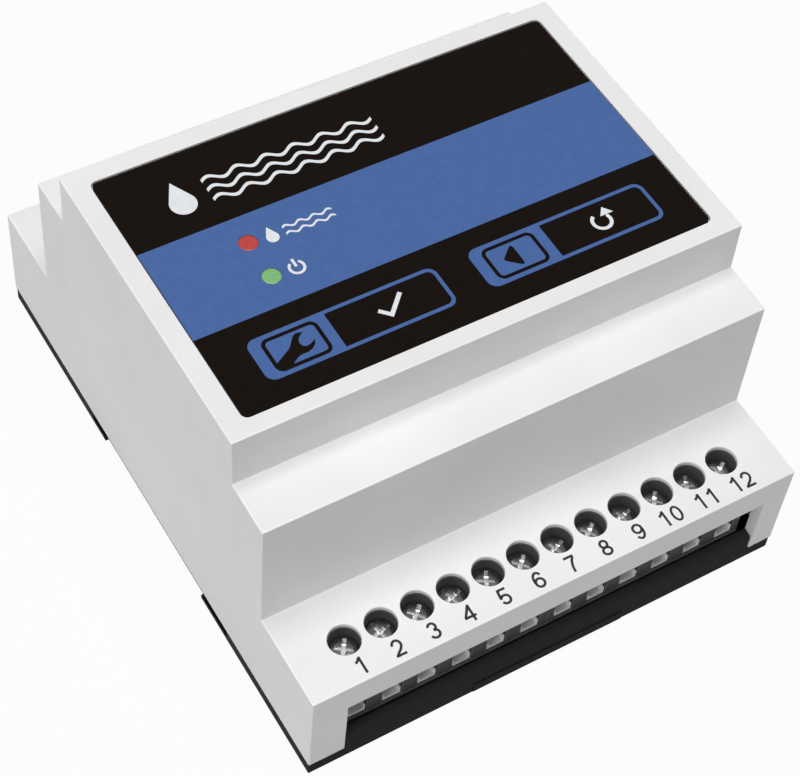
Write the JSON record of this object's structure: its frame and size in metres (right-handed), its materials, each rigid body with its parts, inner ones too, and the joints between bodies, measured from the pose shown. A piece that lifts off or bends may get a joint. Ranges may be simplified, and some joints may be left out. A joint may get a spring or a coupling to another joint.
{
  "type": "water leak sensor",
  "caption": "Rail-mounted water leak detector: stepped light grey cover over a black base, blue-banded front label, two lamps, two keys, a row of screw terminals.",
  "frame": {"origin": "centre of the underside, at the level of the feet", "axes": "+X along the row of terminals, -Y the wired side, +Z out of the nose"},
  "size_m": [0.071, 0.086, 0.0447],
  "materials": {
    "light_grey_housing": "fine matt moulding",
    "black_moulding": "matt moulding",
    "dark_grey_moulding": "matt moulding",
    "nickelled_metal": "nickelled, satin",
    "zinc_screw": "zinc plated, bright",
    "spring_steel": "bright wire",
    "label_black": "printed film, satin",
    "label_blue": "printed film, satin",
    "lens_red": "translucent",
    "lens_green": "translucent",
    "diode_clear": "clear resin",
    "board_green": "solder resist",
    "relay_case": "moulded case",
    "sleeve_blue": "shrunk sleeve"
  },
  "bodies": {
    "root": {"top_cover": "light_grey_housing", "base_tray": "black_moulding", "latch_spring": "spring_steel", "front_label": "label_black", "sensor_light_guide": "lens_red", "power_light_guide": "lens_green", "sensor_led": "diode_clear", "power_led": "diode_clear", "display_board": "board_green", "main_board": "board_green", "test_switch_body": "dark_grey_moulding", "reset_switch_body": "dark_grey_moulding", "board_header": "black_moulding", "board_socket": "black_moulding", "transformer": "dark_grey_moulding", "alarm_relay_1": "relay_case", "alarm_relay_2": "relay_case", "supply_capacitor": "sleeve_blue", "rectifier_bridge": "black_moulding", "voltage_regulator": "black_moulding", "fuse": "black_moulding", "varistor": "sleeve_blue", "controller_chip": "black_moulding", "terminal_block_1": "dark_grey_moulding", "terminal_block_2": "dark_grey_moulding", "terminal_block_3": "dark_grey_moulding", "terminal_block_4": "dark_grey_moulding"},
    "rail_latch": {"rail_latch": "black_moulding"},
    "test_plunger": {"test_switch_plunger": "black_moulding"},
    "reset_plunger": {"reset_switch_plunger": "black_moulding"},
    "clamp_cage_01": {"clamp_cage_01": "nickelled_metal"},
    "clamp_screw_01": {"clamp_screw_01": "zinc_screw"},
    "clamp_cage_02": {"clamp_cage_02": "nickelled_metal"},
    "clamp_screw_02": {"clamp_screw_02": "zinc_screw"},
    "clamp_cage_03": {"clamp_cage_03": "nickelled_metal"},
    "clamp_screw_03": {"clamp_screw_03": "zinc_screw"},
    "clamp_cage_04": {"clamp_cage_04": "nickelled_metal"},
    "clamp_screw_04": {"clamp_screw_04": "zinc_screw"},
    "clamp_cage_05": {"clamp_cage_05": "nickelled_metal"},
    "clamp_screw_05": {"clamp_screw_05": "zinc_screw"},
    "clamp_cage_06": {"clamp_cage_06": "nickelled_metal"},
    "clamp_screw_06": {"clamp_screw_06": "zinc_screw"},
    "clamp_cage_07": {"clamp_cage_07": "nickelled_metal"},
    "clamp_screw_07": {"clamp_screw_07": "zinc_screw"},
    "clamp_cage_08": {"clamp_cage_08": "nickelled_metal"},
    "clamp_screw_08": {"clamp_screw_08": "zinc_screw"},
    "clamp_cage_09": {"clamp_cage_09": "nickelled_metal"},
    "clamp_screw_09": {"clamp_screw_09": "zinc_screw"},
    "clamp_cage_10": {"clamp_cage_10": "nickelled_metal"},
    "clamp_screw_10": {"clamp_screw_10": "zinc_screw"},
    "clamp_cage_11": {"clamp_cage_11": "nickelled_metal"},
    "clamp_screw_11": {"clamp_screw_11": "zinc_screw"},
    "clamp_cage_12": {"clamp_cage_12": "nickelled_metal"},
    "clamp_screw_12": {"clamp_screw_12": "zinc_screw"}
  },
  "joints": [
    {"name": "rail_latch_slide", "type": "slide", "parent": "root", "child": "rail_latch", "axis": [0, -1, 0], "range_m": [0, 0.0035], "stiffness_N_per_m": 400, "springref_m": -0.004, "deforming": ["latch_spring"]},
    {"name": "test_key_press", "type": "slide", "parent": "root", "child": "test_plunger", "axis": [0, 0, -1], "range_m": [0, 0.00025], "stiffness_N_per_m": 2000, "springref_m": -0.0003},
    {"name": "reset_key_press", "type": "slide", "parent": "root", "child": "reset_plunger", "axis": [0, 0, -1], "range_m": [0, 0.00025], "stiffness_N_per_m": 2000, "springref_m": -0.0003},
    {"name": "clamp_cage_01_rise", "type": "slide", "parent": "root", "child": "clamp_cage_01", "axis": [0, 0, 1], "range_m": [0, 0.0026]},
    {"name": "clamp_screw_01_turn", "type": "hinge", "parent": "root", "child": "clamp_screw_01", "pos_m": [-0.02794, -0.0371, 0.0143], "axis": [0, 0, 1], "range_deg": [-1872.5, 0]},
    {"name": "clamp_cage_02_rise", "type": "slide", "parent": "root", "child": "clamp_cage_02", "axis": [0, 0, 1], "range_m": [0, 0.0026]},
    {"name": "clamp_screw_02_turn", "type": "hinge", "parent": "root", "child": "clamp_screw_02", "pos_m": [-0.02286, -0.0371, 0.0143], "axis": [0, 0, 1], "range_deg": [-1872.5, 0]},
    {"name": "clamp_cage_03_rise", "type": "slide", "parent": "root", "child": "clamp_cage_03", "axis": [0, 0, 1], "range_m": [0, 0.0026]},
    {"name": "clamp_screw_03_turn", "type": "hinge", "parent": "root", "child": "clamp_screw_03", "pos_m": [-0.01778, -0.0371, 0.0143], "axis": [0, 0, 1], "range_deg": [-1872.5, 0]},
    {"name": "clamp_cage_04_rise", "type": "slide", "parent": "root", "child": "clamp_cage_04", "axis": [0, 0, 1], "range_m": [0, 0.0026]},
    {"name": "clamp_screw_04_turn", "type": "hinge", "parent": "root", "child": "clamp_screw_04", "pos_m": [-0.0127, -0.0371, 0.0143], "axis": [0, 0, 1], "range_deg": [-1872.5, 0]},
    {"name": "clamp_cage_05_rise", "type": "slide", "parent": "root", "child": "clamp_cage_05", "axis": [0, 0, 1], "range_m": [0, 0.0026]},
    {"name": "clamp_screw_05_turn", "type": "hinge", "parent": "root", "child": "clamp_screw_05", "pos_m": [-0.00762, -0.0371, 0.0143], "axis": [0, 0, 1], "range_deg": [-1872.5, 0]},
    {"name": "clamp_cage_06_rise", "type": "slide", "parent": "root", "child": "clamp_cage_06", "axis": [0, 0, 1], "range_m": [0, 0.0026]},
    {"name": "clamp_screw_06_turn", "type": "hinge", "parent": "root", "child": "clamp_screw_06", "pos_m": [-0.00254, -0.0371, 0.0143], "axis": [0, 0, 1], "range_deg": [-1872.5, 0]},
    {"name": "clamp_cage_07_rise", "type": "slide", "parent": "root", "child": "clamp_cage_07", "axis": [0, 0, 1], "range_m": [0, 0.0026]},
    {"name": "clamp_screw_07_turn", "type": "hinge", "parent": "root", "child": "clamp_screw_07", "pos_m": [0.00254, -0.0371, 0.0143], "axis": [0, 0, 1], "range_deg": [-1872.5, 0]},
    {"name": "clamp_cage_08_rise", "type": "slide", "parent": "root", "child": "clamp_cage_08", "axis": [0, 0, 1], "range_m": [0, 0.0026]},
    {"name": "clamp_screw_08_turn", "type": "hinge", "parent": "root", "child": "clamp_screw_08", "pos_m": [0.00762, -0.0371, 0.0143], "axis": [0, 0, 1], "range_deg": [-1872.5, 0]},
    {"name": "clamp_cage_09_rise", "type": "slide", "parent": "root", "child": "clamp_cage_09", "axis": [0, 0, 1], "range_m": [0, 0.0026]},
    {"name": "clamp_screw_09_turn", "type": "hinge", "parent": "root", "child": "clamp_screw_09", "pos_m": [0.0127, -0.0371, 0.0143], "axis": [0, 0, 1], "range_deg": [-1872.5, 0]},
    {"name": "clamp_cage_10_rise", "type": "slide", "parent": "root", "child": "clamp_cage_10", "axis": [0, 0, 1], "range_m": [0, 0.0026]},
    {"name": "clamp_screw_10_turn", "type": "hinge", "parent": "root", "child": "clamp_screw_10", "pos_m": [0.01778, -0.0371, 0.0143], "axis": [0, 0, 1], "range_deg": [-1872.5, 0]},
    {"name": "clamp_cage_11_rise", "type": "slide", "parent": "root", "child": "clamp_cage_11", "axis": [0, 0, 1], "range_m": [0, 0.0026]},
    {"name": "clamp_screw_11_turn", "type": "hinge", "parent": "root", "child": "clamp_screw_11", "pos_m": [0.02286, -0.0371, 0.0143], "axis": [0, 0, 1], "range_deg": [-1872.5, 0]},
    {"name": "clamp_cage_12_rise", "type": "slide", "parent": "root", "child": "clamp_cage_12", "axis": [0, 0, 1], "range_m": [0, 0.0026]},
    {"name": "clamp_screw_12_turn", "type": "hinge", "parent": "root", "child": "clamp_screw_12", "pos_m": [0.02794, -0.0371, 0.0143], "axis": [0, 0, 1], "range_deg": [-1872.5, 0]}
  ],
  "couplings": [
    {"joint": "clamp_screw_01_turn", "follows": "clamp_cage_01_rise", "rad_per_m": -12566},
    {"joint": "clamp_screw_02_turn", "follows": "clamp_cage_02_rise", "rad_per_m": -12566},
    {"joint": "clamp_screw_03_turn", "follows": "clamp_cage_03_rise", "rad_per_m": -12566},
    {"joint": "clamp_screw_04_turn", "follows": "clamp_cage_04_rise", "rad_per_m": -12566},
    {"joint": "clamp_screw_05_turn", "follows": "clamp_cage_05_rise", "rad_per_m": -12566},
    {"joint": "clamp_screw_06_turn", "follows": "clamp_cage_06_rise", "rad_per_m": -12566},
    {"joint": "clamp_screw_07_turn", "follows": "clamp_cage_07_rise", "rad_per_m": -12566},
    {"joint": "clamp_screw_08_turn", "follows": "clamp_cage_08_rise", "rad_per_m": -12566},
    {"joint": "clamp_screw_09_turn", "follows": "clamp_cage_09_rise", "rad_per_m": -12566},
    {"joint": "clamp_screw_10_turn", "follows": "clamp_cage_10_rise", "rad_per_m": -12566},
    {"joint": "clamp_screw_11_turn", "follows": "clamp_cage_11_rise", "rad_per_m": -12566},
    {"joint": "clamp_screw_12_turn", "follows": "clamp_cage_12_rise", "rad_per_m": -12566}
  ]
}
